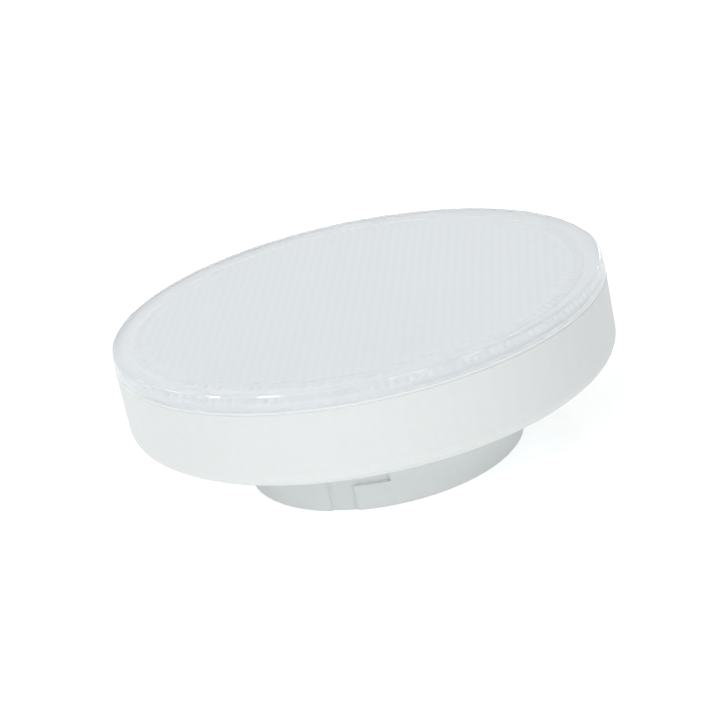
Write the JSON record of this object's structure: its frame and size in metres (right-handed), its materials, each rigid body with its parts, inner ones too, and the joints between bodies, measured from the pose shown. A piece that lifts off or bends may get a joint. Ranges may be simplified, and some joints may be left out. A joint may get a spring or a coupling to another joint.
{
  "type": "led disc lamp",
  "caption": "Flat round LED lamp with a clear prismatic cover, a white moulded housing and a twist-lock two-pin cap under it.",
  "frame": {"origin": "centre of the flat end of the cap boss, which the lamp stands on", "axes": "+Z along the lamp's axis, towards its light face; the two contact pins lie on the X axis; the front keyway faces -Y"},
  "size_m": [0.075, 0.075, 0.0258],
  "materials": {
    "clear_plastic": "clear moulded plastic, prismatic inside, polished outside",
    "white_plastic": "white moulded plastic, satin",
    "nickel_plating": "nickel-plated brass, turned",
    "aluminium": "pressed sheet, satin",
    "white_solder_mask": "aluminium-core board with white mask",
    "led_package": "white package with yellow phosphor",
    "steel": "zinc-plated",
    "board_laminate": "green glass-fibre laminate",
    "capacitor_sleeve": "shrunk sleeve over an aluminium can",
    "yellow_resin": "dipped resin",
    "black_epoxy": "moulded",
    "ferrite": "pressed and sintered",
    "bobbin_plastic": "moulded",
    "enamelled_copper": "enamelled copper wire, wound",
    "resistor_lacquer": "lacquered",
    "white_insulation": "wire insulation",
    "blue_insulation": "wire insulation",
    "black_insulation": "wire insulation",
    "red_insulation": "wire insulation"
  },
  "bodies": {
    "root": {"cover": "clear_plastic", "housing": "white_plastic", "contact_pin_right": "nickel_plating", "contact_pin_left": "nickel_plating", "heat_sink": "aluminium", "led_board": "white_solder_mask", "led_01": "led_package", "led_02": "led_package", "led_03": "led_package", "led_04": "led_package", "led_05": "led_package", "led_06": "led_package", "led_07": "led_package", "led_08": "led_package", "led_09": "led_package", "led_10": "led_package", "led_11": "led_package", "led_12": "led_package", "led_13": "led_package", "led_14": "led_package", "led_15": "led_package", "led_16": "led_package", "led_17": "led_package", "led_18": "led_package", "board_screw_1": "steel", "board_screw_2": "steel", "board_screw_3": "steel", "driver_board": "board_laminate", "input_capacitor": "capacitor_sleeve", "output_capacitor": "capacitor_sleeve", "film_capacitor": "yellow_resin", "bridge_rectifier": "black_epoxy", "driver_chip": "black_epoxy", "output_diode": "black_epoxy", "chip_resistor_1": "black_epoxy", "chip_resistor_2": "black_epoxy", "fuse_resistor": "resistor_lacquer", "transformer_core_right": "ferrite", "transformer_core_left": "ferrite", "transformer_bobbin": "bobbin_plastic", "transformer_winding": "enamelled_copper", "mains_wire_right": "white_insulation", "mains_wire_left": "blue_insulation", "led_wire_negative": "black_insulation", "led_wire_positive": "red_insulation"}
  },
  "joints": []
}
